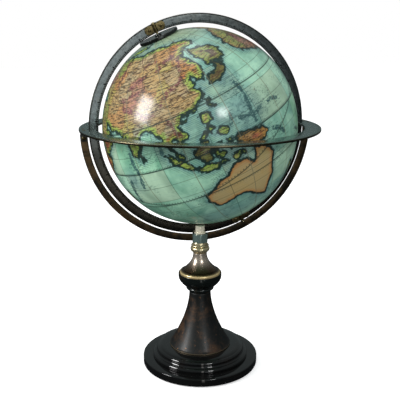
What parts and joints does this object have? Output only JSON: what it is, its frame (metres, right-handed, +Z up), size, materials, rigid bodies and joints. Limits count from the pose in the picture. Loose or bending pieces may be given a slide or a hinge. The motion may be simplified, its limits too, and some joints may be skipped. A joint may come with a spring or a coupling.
{
  "type": "desktop globe on stand",
  "caption": "Table globe in a graduated meridian ring and flat horizon ring, carried by a half-round cradle on a turned bronze column with a round lacquered plinth.",
  "frame": {"origin": "middle of the felt's underside, on the table", "axes": "+Z up; the rings stand in the XZ plane with the graduated face towards -Y; the north pole leans towards -X"},
  "size_m": [0.395, 0.395, 0.6034],
  "materials": {
    "felt": "dark green felt",
    "black_lacquer": "high-gloss black lacquer on turned wood",
    "steel": "plain steel fastener",
    "mottled_bronze": "mottled dark brown patina, satin gloss",
    "black_bronze": "blackened bronze, polished",
    "brown_bronze": "brown patina, polished",
    "dark_bronze": "dark patina with worn edges",
    "polished_brass": "polished brass",
    "old_brass": "aged brass",
    "map_shell": "printed paper map under satin varnish",
    "board": "plain pasteboard",
    "plain_wood": "plain turned wood"
  },
  "bodies": {
    "stand": {"felt_pad": "felt", "base_plinth": "black_lacquer", "tie_rod": "steel", "tie_rod_washer": "steel", "tie_rod_nut": "steel", "pedestal_trumpet": "mottled_bronze", "knop_bowl": "black_bronze", "upper_trumpet": "brown_bronze", "neck_collar": "polished_brass", "arc_socket": "black_bronze", "meridian_post": "polished_brass", "arc_set_screw": "steel", "cradle_arc": "brown_bronze", "horizon_ring": "dark_bronze", "horizon_foot_left": "dark_bronze", "horizon_foot_right": "dark_bronze", "foot_rivet_left": "old_brass", "foot_rivet_right": "old_brass", "horizon_screw_left_1": "old_brass", "horizon_screw_left_2": "old_brass", "horizon_screw_right_1": "old_brass", "horizon_screw_right_2": "old_brass"},
    "meridian": {"meridian_ring": "dark_bronze", "north_bearing": "old_brass", "north_bearing_screw_1": "old_brass", "north_bearing_screw_2": "old_brass", "south_bearing": "old_brass", "south_bearing_screw_1": "old_brass", "south_bearing_screw_2": "old_brass"},
    "ball": {"north_hemisphere": "map_shell", "south_hemisphere": "map_shell", "equator_joint_band": "board", "north_pole_plug": "plain_wood", "south_pole_plug": "plain_wood", "north_pivot_pin": "polished_brass", "south_pivot_pin": "polished_brass"},
    "hour_circle": {"hour_cap": "black_bronze", "hour_cap_hub": "polished_brass"}
  },
  "joints": [
    {"name": "meridian_tilt", "type": "hinge", "parent": "stand", "child": "meridian", "pos_m": [0, 0, 0.4213], "axis": [0, -1, 0], "range_deg": [-15.5, 57.5]},
    {"name": "ball_spin", "type": "hinge", "parent": "meridian", "child": "ball", "pos_m": [0, 0, 0.4213], "axis": [-0.4195, 0, 0.9078], "continuous": true},
    {"name": "hour_circle_turn", "type": "hinge", "parent": "ball", "child": "hour_circle", "pos_m": [0, 0, 0.4213], "axis": [-0.4195, 0, 0.9078], "continuous": true}
  ]
}
